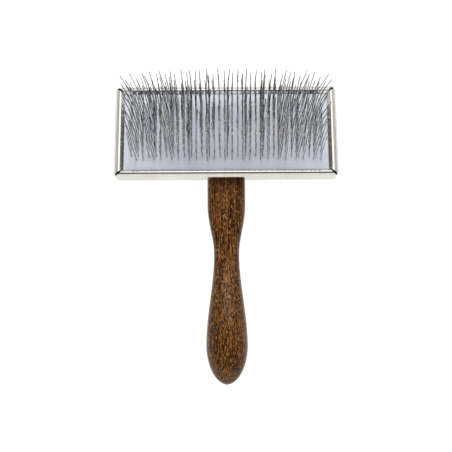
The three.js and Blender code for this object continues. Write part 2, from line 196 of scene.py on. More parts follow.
# How finely the shapes are divided.
CORNER_STEPS = 10
BEND_STEPS = 8
ROLL_STEPS = 6
SCREW_HOLE_SIDES = 24
RUBBER_GRID = 0.4 * MM
CLOTH_GRID = 0.6 * MM
FOAM_GRID = 0.7 * MM
WIRE_SIDES = 8
LEG_STEPS = 24
HANDLE_SIDES = 96
END_STEPS = 28
BARREL_STEPS = 70
TONGUE_STEPS = 24
TIP_STEPS = 14

# The near edge of the pan in the row frame. Handle lengths above are counted from it.
EDGE_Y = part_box("handle")[0].y - HANDLE_END_Y

HEAD_TO_ROW = Matrix.Translation((0, EDGE_Y, SEAT_HEIGHT)) @ Matrix.Rotation(-HEAD_TILT, 4, "X")


# ------------------------------------------------------------------ mesh helpers


def smoothstep(value, low, high):
    share = min(max((value - low) / (high - low), 0), 1)
    return share * share * (3 - 2 * share)


def lerp(a, b, share):
    return a + (b - a) * share


def arc(steps):
    """Angles of a quarter turn, both ends included."""
    return [k / steps * math.pi / 2 for k in range(steps + 1)]


def new_piece(name, verts, faces, material, nodes, in_head=True):
    """A mesh object that rides on the brush and stands for the CAD nodes named."""
    mesh = bpy.data.meshes.new(name)
    mesh.from_pydata([tuple(v) for v in verts], [], faces)
    if in_head:
        mesh.transform(HEAD_TO_ROW)
    mesh.validate()
    piece = bpy.data.objects.new(name, mesh)
    bpy.context.scene.collection.objects.link(piece)
    mesh.materials.append(material)
    smooth_shading(piece)
    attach(piece, "root")
    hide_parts(*nodes)
    return piece


def smooth_shading(piece):
    piece.data.polygons.foreach_set("use_smooth", [True] * len(piece.data.polygons))
    piece.data.set_sharp_from_angle(angle=SHARP_ANGLE)


def loft_faces(rings, count, first=0):
    """Faces between rings of count vertices each, from the vertex first on, and a cap at each end.

    The rings turn anticlockwise as seen from beyond the last one.
    """
    faces = []
    for r in range(rings - 1):
        low = first + r * count
        for i in range(count):
            j = (i + 1) % count
            faces.append((low + i, low + j, low + count + j, low + count + i))
    last = first + (rings - 1) * count
    faces.append(tuple(reversed(range(first, first + count))))
    faces.append(tuple(range(last, last + count)))
    return faces


def apply_modifiers(piece):
    graph = bpy.context.evaluated_depsgraph_get()
    made = bpy.data.meshes.new_from_object(piece.evaluated_get(graph))
    piece.modifiers.clear()
    piece.data = made


# ------------------------------------------------------------------ shader helpers


def feed(links, socket, value):
    """Links a socket to another one, or sets its own value."""
    if isinstance(value, bpy.types.NodeSocket):
        links.new(value, socket)
    else:
        socket.default_value = value


def rgba(tone):
    """A colour with its alpha; a plain number is a grey."""
    return (*tone, 1) if isinstance(tone, tuple) else (tone, tone, tone, 1)


class Shader:
    """A material's node tree with short calls for the nodes used here."""

    def __init__(self, name):
        self.material = bpy.data.materials.new(name)
        self.material.use_nodes = True
        self.nodes = self.material.node_tree.nodes
        self.links = self.material.node_tree.links
        self.surface = self.nodes["Principled BSDF"]
        self.place = self.nodes.new("ShaderNodeTexCoord").outputs["Object"]

    def set(self, **values):
        """Sets inputs of the Principled shader; names use _ for spaces."""
        for name, value in values.items():
            feed(self.links, self.surface.inputs[name.replace("_", " ")], value)

    def stretched(self, scale, turn=(0, 0, 0)):
        node = self.nodes.new("ShaderNodeMapping")
        self.links.new(self.place, node.inputs["Vector"])
        node.inputs["Rotation"].default_value = turn
        node.inputs["Scale"].default_value = scale
        return node.outputs["Vector"]

    def along(self, axis):
        """Where a point lies along one axis of the row."""
        node = self.nodes.new("ShaderNodeSeparateXYZ")
        self.links.new(self.place, node.inputs[0])
        return node.outputs[axis]

    def off_middle(self, half_width):
        """0 in the brush's middle plane, 1 at half_width to either side."""
        reach = self.math("MULTIPLY", self.along("X"), 1 / half_width)
        return self.math("MULTIPLY", reach, reach)

    def noise(self, scale, detail=3, rough=0.5, vector=None, distortion=0):
        node = self.nodes.new("ShaderNodeTexNoise")
        self.links.new(vector or self.place, node.inputs["Vector"])
        node.inputs["Scale"].default_value = scale
        node.inputs["Detail"].default_value = detail
        node.inputs["Roughness"].default_value = rough
        node.inputs["Distortion"].default_value = distortion
        return node.outputs["Fac"]

    def threads(self, scale, direction):
        """Slightly uneven bands, one per thread."""
        node = self.nodes.new("ShaderNodeTexWave")
        node.bands_direction = direction
        self.links.new(self.place, node.inputs["Vector"])
        node.inputs["Scale"].default_value = scale
        node.inputs["Distortion"].default_value = 0.5
        node.inputs["Detail"].default_value = 1
        return node.outputs["Fac"]

    def cells(self, scale):
        node = self.nodes.new("ShaderNodeTexVoronoi")
        self.links.new(self.place, node.inputs["Vector"])
        node.inputs["Scale"].default_value = scale
        return node.outputs["Distance"]

    def ramp(self, value, stops):
        node = self.nodes.new("ShaderNodeValToRGB")
        self.links.new(value, node.inputs["Fac"])
        marks = node.color_ramp.elements
        while len(marks) < len(stops):
            marks.new(0.5)
        for mark, (place, tone) in zip(marks, stops):
            mark.position = place
            mark.color = rgba(tone)
        return node.outputs["Color"]

    def mix(self, share, a, b, mode="MIX"):
        node = self.nodes.new("ShaderNodeMix")
        node.data_type = "RGBA"
        node.blend_type = mode
        feed(self.links, node.inputs["Factor"], share)
        feed(self.links, node.inputs[6], a if isinstance(a, bpy.types.NodeSocket) else rgba(a))
        feed(self.links, node.inputs[7], b if isinstance(b, bpy.types.NodeSocket) else rgba(b))
        return node.outputs[2]

    def math(self, operation, a, b):
        node = self.nodes.new("ShaderNodeMath")
        node.operation = operation
        feed(self.links, node.inputs[0], a)
        feed(self.links, node.inputs[1], b)
        return node.outputs[0]

    def remap(self, value, low, high):
        node = self.nodes.new("ShaderNodeMapRange")
        self.links.new(value, node.inputs["Value"])
        node.inputs["To Min"].default_value = low
        node.inputs["To Max"].default_value = high
        return node.outputs["Result"]

    def bump(self, height, distance, strength=1.0):
        node = self.nodes.new("ShaderNodeBump")
        self.links.new(height, node.inputs["Height"])
        node.inputs["Distance"].default_value = distance
        node.inputs["Strength"].default_value = strength
        if self.surface.inputs["Normal"].links:
            before = self.surface.inputs["Normal"].links[0].from_socket
            self.links.new(before, node.inputs["Normal"])
        self.links.new(node.outputs["Normal"], self.surface.inputs["Normal"])


# ------------------------------------------------------------------ materials

DARK_STAIN = (0.009, 0.004, 0.002)
STAIN = (0.052, 0.018, 0.003)
PALE_STAIN = (0.26, 0.099, 0.02)
PORE = (0.006, 0.004, 0.002)
BLOTCH = (0.125, 0.049, 0.012)
FLECK = (0.46, 0.195, 0.05)

# The strip along the handle's top that is painted lighter, with painted shade on its flanks.
# The part of the pad past the pan's near edge whose middle is painted in shade, and the length
# over which that fades.
LIT_TOP_HALF_WIDTH = 4.5 * MM
SHADED_PAD_DEPTH = 12 * MM
SHADED_PAD_FADE = 11 * MM


def stained_beech():
    """Stained wood, painted a little lighter along the handle's middle and in shade on its flanks.
    """
    s = Shader("stained_beech")
    fibre = s.noise(1, 2, 0.6, s.stretched((2200, 600, 2200)))
    streak = s.noise(1, 4, 0.65, s.stretched((1600, 50, 1600)), 0.3)
    fleck = s.noise(1, 2, 0.6, s.stretched((2200, 520, 2200), (0.05, 0, 0.05)))
    blotch = s.noise(60, 3, 0.55)
    grain = s.ramp(streak, [(0.4, DARK_STAIN), (0.5, STAIN), (0.6, PALE_STAIN)])
    pored = s.mix(s.ramp(fibre, [(0.42, 0.9), (0.5, 0.0)]), grain, PORE)
    stained = s.mix(s.ramp(blotch, [(0.42, 0.0), (0.62, 0.2)]), pored, BLOTCH)
    flecked = s.mix(s.ramp(fleck, [(0.55, 0.0), (0.63, 0.7)]), stained, FLECK)
    # Painted light along the handle's top and painted shade on its flanks, as if lit from above.
    painted_light_and_shade = s.remap(s.off_middle(LIT_TOP_HALF_WIDTH), 1.06, 0.81)
    lit_and_shaded = s.mix(1.0, flecked, painted_light_and_shade, "MULTIPLY")
    s.set(Base_Color=lit_and_shaded, Roughness=s.remap(fibre, 0.2, 0.3), Specular_IOR_Level=0.25)
    s.bump(fibre, 0.03 * MM, 0.5)
    return s.material


def nickel_plate():
    s = Shader("nickel_plate")
    cloud = s.noise(140, 3)
    polish = s.noise(1, 3, 0.6, s.stretched((300, 5200, 5200)))
    tone = s.ramp(cloud, [(0.3, (0.6, 0.58, 0.545)), (0.7, (0.68, 0.66, 0.625))])
    s.set(Base_Color=tone, Metallic=1.0, Roughness=s.remap(polish, 0.06, 0.13))
    s.bump(cloud, 0.02 * MM, 0.5)
    return s.material


def wire_steel():
    s = Shader("wire_steel")
    # Random patches along the wires: the dark ones grime, the bright ones painted glints.
    grime_and_glints = s.noise(2000, 2, 0.6)
    tone = s.ramp(grime_and_glints, [(0.42, (0.105, 0.099, 0.091)), (0.53, (0.28, 0.275, 0.265)),
                          (0.62, (0.78, 0.77, 0.74))])
    s.set(Base_Color=tone, Metallic=1.0, Roughness=s.remap(grime_and_glints, 0.06, 0.18))
    return s.material


def blue_grey_rubber():
    """Pad rubber, with painted shade in its middle by the handle's neck and its sides painted
    lighter.
    """
    s = Shader("blue_grey_rubber")
    cloud = s.noise(90, 3)
    grain = s.noise(2600, 2)
    lines = s.noise(1, 3, 0.6, s.stretched((60, 2400, 2400)))
    tone = s.ramp(cloud, [(0.3, (0.61, 0.65, 0.745)), (0.7, (0.67, 0.71, 0.795))])
    # Painted shade in the pad's middle by its near edge, fading further back; its sides are
    # painted lighter.
    past_shaded = s.math("SUBTRACT", s.along("Y"), EDGE_Y + SHADED_PAD_DEPTH)
    shade_fade_share = s.remap(s.math("MULTIPLY", past_shaded, 1 / SHADED_PAD_FADE), 0, 1)
    side = s.off_middle(HEAD_WIDTH / 2)
    painted_light_and_shade = s.mix(shade_fade_share, s.remap(side, 0.8, 1.05), s.remap(side, 1.0, 1.1))
    lit_and_shaded = s.mix(1.0, tone, painted_light_and_shade, "MULTIPLY")
    s.set(Base_Color=s.mix(0.12, lit_and_shaded, s.ramp(lines, [(0.4, 0.5), (0.6, 0.95)]), "MULTIPLY"),
          Roughness=s.remap(grain, 0.5, 0.66), Specular_IOR_Level=0.3)
    s.bump(lines, 0.03 * MM, 0.5)
    s.bump(grain, 0.02 * MM, 0.5)
    return s.material


def woven_cotton():
    s = Shader("woven_cotton")
    warp = s.threads(2200, "X")
    weft = s.threads(2200, "Y")
    weave = s.math("MAXIMUM", warp, weft)
    cloud = s.noise(300, 3)
    tone = s.ramp(cloud, [(0.3, (0.52, 0.46, 0.35)), (0.7, (0.66, 0.6, 0.48))])
    s.set(Base_Color=s.mix(0.35, tone, weave, "MULTIPLY"), Roughness=0.92, Sheen_Weight=0.3)
    s.bump(weave, 0.12 * MM, 0.8)
    return s.material


def foam_rubber():
    s = Shader("foam_rubber")
    cells = s.cells(1500)
    cloud = s.noise(200, 3)
    tone = s.ramp(cloud, [(0.3, (0.62, 0.57, 0.42)), (0.7, (0.74, 0.69, 0.53))])
    s.set(Base_Color=s.mix(0.3, tone, s.ramp(cells, [(0.1, 0.35), (0.5, 1.0)]), "MULTIPLY"),
          Roughness=0.95, Sheen_Weight=0.2)
    s.bump(cells, 0.2 * MM, 0.8)
    return s.material


def fibreboard():
    s = Shader("fibreboard")
    fibre = s.noise(1, 4, 0.7, s.stretched((500, 1800, 1800), (0, 0, 0.4)))
    tone = s.ramp(fibre, [(0.35, (0.17, 0.11, 0.06)), (0.65, (0.32, 0.22, 0.13))])
    s.set(Base_Color=tone, Roughness=0.9)
    s.bump(fibre, 0.06 * MM, 0.6)
    return s.material


def screw_steel():
    s = Shader("screw_steel")
    scuff = s.noise(900, 3)
    tone = s.ramp(scuff, [(0.3, (0.42, 0.41, 0.38)), (0.7, (0.6, 0.59, 0.56))])
    s.set(Base_Color=tone, Metallic=1.0, Roughness=s.remap(scuff, 0.28, 0.45))
    return s.material


# ------------------------------------------------------------------ frame pan


def side_inset(inset):
    """The inset on the short sides, whose lips are wider, for an inset on the long sides."""
    stations = (PLY_INSET, ROLL_WIDTH, ROLL_WIDTH + SHOULDER, LIP_WIDTH)
    placed = (PLY_INSET, SIDE_ROLL_WIDTH, SIDE_ROLL_WIDTH + SIDE_SHOULDER, SIDE_LIP_WIDTH)
    if inset < PLY_INSET:
        return inset
    return float(np.interp(inset, stations, placed))


def tray_ring(inset, w):
    """A rounded rectangle as large as the pan, drawn in by the inset, at height w."""
    radius = max(CORNER_RADIUS - inset, INNER_CORNER)
    half_x = HEAD_WIDTH / 2 - side_inset(inset) - radius
    half_v = HEAD_DEPTH / 2 - inset - radius
    ring = []
    for corner, (sign_x, sign_v) in enumerate(((1, 1), (-1, 1), (-1, -1), (1, -1))):
        for turn in arc(CORNER_STEPS):
            angle = corner * math.pi / 2 + turn
            x = sign_x * half_x + radius * math.cos(angle)
            v = HEAD_DEPTH / 2 + sign_v * half_v + radius * math.sin(angle)
            ring.append((x, v, w))
    return ring


def floor_round(radius):
    """The bend between the pan's floor and its wall, on one face of the sheet."""
    return [(FLOOR_RADIUS - radius * math.sin(a), FLOOR_RADIUS - radius * math.cos(a))
            for a in arc(BEND_STEPS)]


def roll_size():
    """Width and height of the roll between the wall and the crest."""
    turns = [(math.radians(start), math.radians(end), radius) for start, end, radius in ROLL_ARCS]
    return (sum(radius * (math.sin(start) - math.sin(end)) for start, end, radius in turns),
            sum(radius * (math.cos(end) - math.cos(start)) for start, end, radius in turns))


ROLL_WIDTH, ROLL_HEIGHT = roll_size()


def roll_curve(depth_in_sheet):
    """The roll of one face of the sheet: sharp off the wall, slow over a bevel, sharp on top."""
    points = []
    inset, height = ROLL_ARCS[0][2], LIP_CREST - ROLL_HEIGHT
    before = inset
    for start, end, radius in ROLL_ARCS:
        inset -= (before - radius) * math.sin(math.radians(start))
        height += (before - radius) * math.cos(math.radians(start))
        before = radius
        for k in range(1 if points else 0, ROLL_STEPS + 1):
            angle = math.radians(lerp(start, end, k / ROLL_STEPS))
            points.append((inset - (radius - depth_in_sheet) * math.sin(angle),
                           height + (radius - depth_in_sheet) * math.cos(angle)))
    return points


def skirt_bend(depth_in_sheet):
    """The bend of one face of the sheet from the shoulder down into the skirt."""
    bend = SKIRT_BEND - depth_in_sheet
    inset = ROLL_WIDTH + SHOULDER - SKIRT_BEND * math.sin(SHOULDER_SLOPE)
    height = (LIP_CREST - SHOULDER * math.tan(SHOULDER_SLOPE)
              - SKIRT_BEND * math.cos(SHOULDER_SLOPE))
    angles = [lerp(SHOULDER_SLOPE, SKIRT_SLOPE, k / BEND_STEPS) for k in range(BEND_STEPS + 1)]
    return [(inset + bend * math.sin(angle), height + bend * math.cos(angle)) for angle in angles]


def lip_curve(depth_in_sheet):
    """The rolled lip of one face of the sheet: roll, shoulder, bend and the skirt on the pad."""
    points = roll_curve(depth_in_sheet) + skirt_bend(depth_in_sheet)
    run = (LIP_WIDTH - ROLL_WIDTH - SHOULDER
           - SKIRT_BEND * (math.sin(SKIRT_SLOPE) - math.sin(SHOULDER_SLOPE)))
    inset, height = points[-1]
    for share in (0.5, 1):
        points.append((inset + share * run, height - share * run * math.tan(SKIRT_SLOPE)))
    return points


def mitre_cutter(sign_x, sign_v):
    """A slit through the lips at one corner, widest near the outside of the corner."""
    outline = [(MITRE_LAND, MITRE_LAND)]
    for share, width in ((MITRE_WIDE_AT, 1), (MITRE_NARROW_AT, MITRE_NARROWING)):
        middle = lerp(MITRE_LAND, MITRE_END, share)
        side = width * MITRE_GAP / 2 / math.sqrt(2)
        outline.insert(0, (middle - side, middle + side))
        outline.append((middle + side, middle - side))
    outline.append((MITRE_END, MITRE_END))
    low, high = LIP_CREST - MITRE_DEPTH, LIP_CREST + SHEET
    placed = [(sign_x * (HEAD_WIDTH / 2 - side_inset(a)),
               HEAD_DEPTH / 2 + sign_v * (HEAD_DEPTH / 2 - b)) for a, b in outline]
    return [(x, v, w) for w in (low, high) for x, v in placed], len(outline)


def screw_cutter(station):
    """A round plug where a screw goes through the pan's floor."""
    angles = [k / SCREW_HOLE_SIDES * TAU for k in range(SCREW_HOLE_SIDES)]
    return [(SCREW_HOLE_RADIUS * math.cos(angle), station + SCREW_HOLE_RADIUS * math.sin(angle), w)
            for w in (-SHEET, 2 * SHEET) for angle in angles], SCREW_HOLE_SIDES


def pan_cutters():
    """Mitre slits and screw holes, joined in one helper mesh."""
    parts = [mitre_cutter(sign_x, sign_v) for sign_x in (-1, 1) for sign_v in (-1, 1)]
    parts += [screw_cutter(station) for station in SCREW_STATIONS]
    verts, faces = [], []
    for points, count in parts:
        faces += loft_faces(2, count, len(verts))
        verts += points
    mesh = bpy.data.meshes.new("pan_cutters")
    mesh.from_pydata(verts, [], faces)
    mesh.transform(HEAD_TO_ROW)
    fix = bmesh.new()
    fix.from_mesh(mesh)
    bmesh.ops.recalc_face_normals(fix, faces=fix.faces)
    fix.to_mesh(mesh)
    fix.free()
    cutters = bpy.data.objects.new("pan_cutters", mesh)
    bpy.context.scene.collection.objects.link(cutters)
    return cutters


def make_pan(material):
    """The pan: one bent sheet with an open top, with the mitres and the screw holes cut out."""
    outside = floor_round(FLOOR_RADIUS) + lip_curve(0)
    inside = list(reversed(floor_round(FLOOR_RADIUS - SHEET) + lip_curve(SHEET)))
    rings = [tray_ring(inset, w) for inset, w in outside + inside]
    count = len(rings[0])
    verts = [point for ring in rings for point in ring]
    pan = new_piece("frame_pan_shell", verts, loft_faces(len(rings), count), material,
                    ["frame_pan"])
    cutters = pan_cutters()
    cut = pan.modifiers.new("cut", "BOOLEAN")
    cut.object = cutters
    cut.operation = "DIFFERENCE"
    cut.solver = "EXACT"
    apply_modifiers(pan)
    bpy.data.objects.remove(cutters)
    smooth_shading(pan)


# ------------------------------------------------------------------ wires


def row_v(row):
    """Where a row of staples stands between the pan's near and far edge."""
    return FIRST_ROW + row * ROW_PITCH


def staple_x(row, staple):
    """The middle of a staple across the head. Rows step sideways in turn."""
    step = ROW_STEP / 2 if row % 2 == 0 else -ROW_STEP / 2
    return (staple - (STAPLES - 1) / 2) * STAPLE_PITCH + step


Bends = namedtuple("Bends", "knee_lean tip_lean knee_sway tip_sway")
Stray = namedtuple("Stray", "knee tip")


def out_share(x):
    """How far out a leg stands: 0 in the middle of the head, 1 at the outermost leg."""
    return abs(x) / (((STAPLES - 1) * STAPLE_PITCH + LEG_SPACING + ROW_STEP) / 2)


def nominal_bends(x, v):
    """How a leg leans away from the handle and sways sideways, below and above its knee."""
    out = out_share(x)
    back = (v - row_v(0)) / (row_v(ROWS - 1) - row_v(0))
    crown = CROWN_LEAN * (v / (HEAD_DEPTH / 2) - 1)
    tip_lean = TIP_LEAN * (1 - SIDE_LEAN_LOSS * out ** SIDE_LOSS_POWER)
    spread = EDGE_SPREAD * out ** EDGE_POWER - KNEE_TUCK * out
    fan = FAN * out ** FAN_POWER * lerp(FIRST_ROW_FAN, 1, back ** FAN_GROWTH)
    return Bends(KNEE_LEAN + crown, tip_lean + crown,
                 math.copysign(spread, x), math.copysign(fan, x))


def bent_leg(x, v, side, column, rng):
    """Points from the crown under the cloth to the tip of one leg, in the head's axes.

    The legs of one column of rows share how far they were bent off the nominal line.
    """
    nominal = nominal_bends(x, v)
    splay = side * LEG_SPLAY
    knee_lean = nominal.knee_lean + rng.gauss(0, KNEE_LEAN_STRAY)
    tip_lean = nominal.tip_lean + rng.gauss(0, TIP_LEAN_STRAY)
    knee_sway = nominal.knee_sway + splay + column.knee + rng.gauss(0, KNEE_SWAY_STRAY)
    fan = nominal.tip_sway * rng.uniform(*FAN_SHARES)
    tip_sway = fan + splay + column.tip + rng.gauss(0, TIP_SWAY_STRAY)
    through = RUBBER_TOP - STAPLE_BASE - WIRE / 2
    knee = through + KNEE_LENGTH * rng.uniform(*KNEE_SHARES)
    length = through + KNEE_LENGTH + TIP_LENGTH + rng.uniform(*LENGTH_CHANGES)
    start = Vector((x, v, STAPLE_BASE + WIRE / 2))
    return trace_leg(start, Bends(knee_lean, tip_lean, knee_sway, tip_sway), through, knee, length)


def trace_leg(start, bends, through, knee, length):
    """A line that is upright in the plies and turns to the knee's and then the tip's bends."""
    points = [start]
    for k in range(LEG_STEPS):
        run = (k + 0.5) / LEG_STEPS * length
        free = smoothstep(run, through * HELD_SHARE, through + FREE_HEIGHT)
        turn = smoothstep(run, knee - KNEE_BEND, knee + KNEE_BEND)
        lean = free * lerp(bends.knee_lean, bends.tip_lean, turn)
        sway = free * lerp(bends.knee_sway, bends.tip_sway, turn)
        direction = Vector((math.tan(sway), math.tan(lean), 1)).normalized()
        points.append(points[-1] + direction * (length / LEG_STEPS))
    return points


def inside_cad(points):
    """Shortens a leg until its tip lies inside the CAD model's box."""
    high = cad_bounds[1]
    while True:
        tip = HEAD_TO_ROW @ points[-1]
        if tip.y + WIRE < high.y and tip.z + WIRE < high.z and abs(tip.x) + WIRE < high.x:
            return points
        points = points[:-1]


def tube(points):
    """Rings of wire around a line, narrowed to a ground end at both tips."""
    across = Vector((0, 1, 0))
    verts = []
    for k, point in enumerate(points):
        before, after = points[max(k - 1, 0)], points[min(k + 1, len(points) - 1)]
        along = (after - before).normalized()
        across = (across - along * across.dot(along)).normalized()
        other = along.cross(across)
        radius = WIRE / 2 * (GROUND_SHARE if k in (0, len(points) - 1) else 1)
        for s in range(WIRE_SIDES):
            angle = s / WIRE_SIDES * TAU
            verts.append(point + (across * math.cos(angle) + other * math.sin(angle)) * radius)
    return verts


def column_strays(rng):
    """How far the legs on each side of each staple of both row kinds stray, as a column."""
    return {(kind, staple, side): Stray(rng.gauss(0, COLUMN_KNEE_STRAY),
                                        rng.gauss(0, COLUMN_TIP_STRAY))
            for kind in (0, 1) for staple in range(STAPLES) for side in (-1, 1)}


def staple_line(row, staple, strays, rng):
    """The whole wire of one staple: down one leg, along the crown and up the other leg."""
    x, v = staple_x(row, staple), row_v(row)
    left, right = (inside_cad(bent_leg(x + side * LEG_SPACING / 2, v, side,
                                       strays[row % 2, staple, side], rng)) for side in (-1, 1))
    for leg, inward in ((left, 1), (right, -1)):
        foot = leg[0]
        leg[:1] = [foot + Vector((inward * across, 0, up)) * WIRE for across, up in CROWN_TURN]
        tip, neck = leg[-1], leg[-2]
        leg.insert(-1, tip + (neck - tip).normalized() * GROUND_LENGTH)
    return list(reversed(left)) + right


def make_wires(material):
    """The staples, one piece for each row."""
    rng = random.Random(WIRE_SEED)
    strays = column_strays(rng)
    for row in range(ROWS):
        verts, faces = [], []
        for staple in range(STAPLES):
            line = staple_line(row, staple, strays, rng)
            faces += loft_faces(len(line), WIRE_SIDES, len(verts))
            verts += tube(line)
        new_piece(f"staple_row_{row + 1:02d}", verts, faces, material,
                  [f"pin_row_{row + 1:02d}"])


# ------------------------------------------------------------------ pad


def pad_crown(x, v):
    """Height of the pad above flat: full in the middle, held down by the lips at its edges."""
    half_x = HEAD_WIDTH / 2 - side_inset(LIP_WIDTH)
    half_v = HEAD_DEPTH / 2 - LIP_WIDTH
    across = max(1 - (abs(x) / half_x) ** CROWN_POWER_ACROSS, 0)
    along = max(1 - (abs(v - HEAD_DEPTH / 2) / half_v) ** CROWN_POWER_ALONG, 0)
    return PAD_CROWN * math.sqrt(across * along)


def plate(base, thick, top_height, step):
    """A layer of the pad on a fine grid, with a shaped top and upright edges."""
    half_x = HEAD_WIDTH / 2 - PLY_INSET
    half_v = HEAD_DEPTH / 2 - PLY_INSET
    columns = round(2 * half_x / step)
    rows = round(2 * half_v / step)
    verts = []
    for level in range(2):
        for j in range(rows + 1):
            for i in range(columns + 1):
                x = (2 * i / columns - 1) * half_x
                v = (2 * j / rows - 1) * half_v
                x, v = round_corner(x, v, half_x, half_v)
                v += HEAD_DEPTH / 2
                verts.append((x, v, base + level * (thick + top_height(x, v))))
    return verts, plate_faces(columns, rows)


def plate_faces(columns, rows):
    """The faces of a layer: two grids and the rim that joins them."""
    faces = []
    wide = columns + 1
    upper = wide * (rows + 1)
    for j in range(rows):
        for i in range(columns):
            a = j * wide + i
            faces.append((a, a + wide, a + wide + 1, a + 1))
            b = a + upper
            faces.append((b, b + 1, b + wide + 1, b + wide))
    rim = list(range(columns))
    rim += [j * wide + columns for j in range(rows)]
    rim += [rows * wide + i for i in range(columns, 0, -1)]
    rim += [j * wide for j in range(rows, 0, -1)]
    for a, b in zip(rim, rim[1:] + rim[:1]):
        faces.append((a, b, b + upper, a + upper))
    return faces


def round_corner(x, v, half_x, half_v):
    """Draws grid points near a corner in, so that the outline turns on a radius."""
    over_x = max(abs(x) - (half_x - PAD_CORNER), 0)
    over_v = max(abs(v) - (half_v - PAD_CORNER), 0)
    if over_x == 0 or over_v == 0:
        return x, v
    reach = math.hypot(over_x, over_v)
    share = max(over_x, over_v) / reach
    new_x = half_x - PAD_CORNER + over_x * share
    new_v = half_v - PAD_CORNER + over_v * share
    return math.copysign(new_x, x), math.copysign(new_v, v)


def wire_places():
    """Where every leg comes through the pad."""
    return np.array([(staple_x(row, staple) + side * LEG_SPACING / 2, row_v(row))
                     for row in range(ROWS) for staple in range(STAPLES) for side in (-1, 1)])


def make_rubber(material):
    """The pad's skin, slightly quilted and drawn in around every wire."""
    places = wire_places()

    def top_height(x, v):
        reach = (places[:, 0] - x) ** 2 + (places[:, 1] - v) ** 2
        dent = DENT_DEPTH * math.exp(-reach.min() / DENT_RADIUS ** 2)
        quilt = QUILT_HEIGHT * noise.noise(Vector((x, v, 0)) * QUILT_SCALE)
        return pad_crown(x, v) * (1 + QUILT_ON_CROWN * quilt) - dent + quilt

    verts, faces = plate(RUBBER_BASE, RUBBER_THICK, top_height, RUBBER_GRID)
    new_piece("rubber_skin", verts, faces, material, ["rubber_face"])


def make_cloth(material):
    """The stretched cloth, with its plain weave raised."""
    def top_height(x, v):
        return WEAVE_HEIGHT * math.sin(x * WEAVE_SCALE) * math.sin(v * WEAVE_SCALE)

    verts, faces = plate(CLOTH_BASE, CLOTH_THICK, top_height, CLOTH_GRID)
    cloth = new_piece("foundation_weave", verts, faces, material,
                      ["foundation_cloth"])


def make_foam(material):
    """The cushion, with a rough cut top just below the cloth."""
    def top_height(x, v):
        rough = noise.noise(Vector((x, v, 0)) * FOAM_ROUGH_SCALE)
        return FOAM_ROUGH_HEIGHT * rough - FOAM_SINK

    verts, faces = plate(FOAM_BASE, FOAM_THICK, top_height, FOAM_GRID)
    foam = new_piece("foam_pad", verts, faces, material, ["foam_cushion"])


# ------------------------------------------------------------------ handle


def along_handle(y, neck, waist, belly):
    """A measure at y, blended between those at the neck, the waist and the belly."""
    if y > WAIST_Y:
        return lerp(neck, waist, smoothstep(-y, -NECK_Y, -WAIST_Y))
    return lerp(waist, belly, smoothstep(-y, -WAIST_Y, -BELLY_Y))


def end_taper(y):
    """How much of the full section is left in the round ends of the handle."""
    if y < BELLY_Y:
        share = (BELLY_Y - y) / (BELLY_Y - HANDLE_END_Y)
        return max(1 - share * share, 0) ** END_BLUNTNESS
    if y > TONGUE_ROUND_Y:
        share = (y - TONGUE_ROUND_Y) / NECK_HALF_WIDTH
        return math.sqrt(max(1 - share * share, 0))
    return 1


def handle_ring(y):
    """The section at y: a superellipse, squarish at the neck and round at the belly."""
    taper = end_taper(y)
    top = along_handle(y, NECK_TOP, WAIST_TOP, BELLY_TOP)
    base = along_handle(y, TONGUE_BASE, WAIST_BASE, BELLY_BASE)
    squareness = along_handle(y, NECK_SQUARENESS, WAIST_SQUARENESS, BELLY_SQUARENESS)
    width = along_handle(y, NECK_HALF_WIDTH, WAIST_HALF_WIDTH, BELLY_HALF_WIDTH)
    half_width = max(width * taper, TIP_RADIUS)
    half_height = max((top - base) / 2 * (taper if y < 0 else 1), TIP_RADIUS)
    ring = []
    for k in range(HANDLE_SIDES):
        angle = k / HANDLE_SIDES * TAU
        c, s = math.cos(angle), math.sin(angle)
        x = -half_width * math.copysign(abs(c) ** (2 / squareness), c)
        z = (top + base) / 2 + half_height * math.copysign(abs(s) ** (2 / squareness), s)
        ring.append((x, y + EDGE_Y, z))
    return ring


def handle_stations():
    """Where along the handle the sections lie, closer together at both round ends."""
    end = [lerp(BELLY_Y, HANDLE_END_Y, math.cos(a)) for a in arc(END_STEPS)[:-1]]
    barrel = [lerp(BELLY_Y, NECK_Y, k / BARREL_STEPS) for k in range(BARREL_STEPS + 1)]
    tongue = [lerp(NECK_Y, TONGUE_ROUND_Y, k / TONGUE_STEPS) for k in range(1, TONGUE_STEPS)]
    tip = [lerp(TONGUE_ROUND_Y, TONGUE_END_Y, math.sin(a)) for a in arc(TIP_STEPS)]
    return end + barrel + tongue + tip


def plane_cut(mesh, point, normal):
    """Cuts away what lies beyond a plane, closes the cut and softens its edge."""
    work = bmesh.new()
    work.from_mesh(mesh)
    geometry = work.verts[:] + work.edges[:] + work.faces[:]
    cut = bmesh.ops.bisect_plane(work, geom=geometry, dist=1e-7, plane_co=point,
                                 plane_no=normal, clear_outer=True)
    rim = [e for e in cut["geom_cut"] if isinstance(e, bmesh.types.BMEdge)]
    made = bmesh.ops.edgeloop_fill(work, edges=rim)
    bmesh.ops.recalc_face_normals(work, faces=work.faces)
    edges = [e for f in made["faces"] for e in f.edges]
    bmesh.ops.bevel(work, geom=edges, offset=EDGE_SOFTENING, segments=3, profile=0.5,
                    affect="EDGES", clamp_overlap=True)
    work.to_mesh(mesh)
    work.free()


def make_handle(material):
    """The handle, cut flat under the pan, and below where the brush rests on it."""
    rings = [handle_ring(y) for y in handle_stations()]
    verts = [point for ring in rings for point in ring]
    handle = new_piece("beech_handle", verts, loft_faces(len(rings), HANDLE_SIDES), material,
                       ["handle"], in_head=False)
    seat_normal = HEAD_TO_ROW.to_3x3() @ Vector((0, 0, 1))
    plane_cut(handle.data, HEAD_TO_ROW @ Vector((0, 0, -SEAT_GAP)), seat_normal)
    plane_cut(handle.data, (0, 0, 0), (0, 0, -1))
    smooth_shading(handle)


# ------------------------------------------------------------------ studio


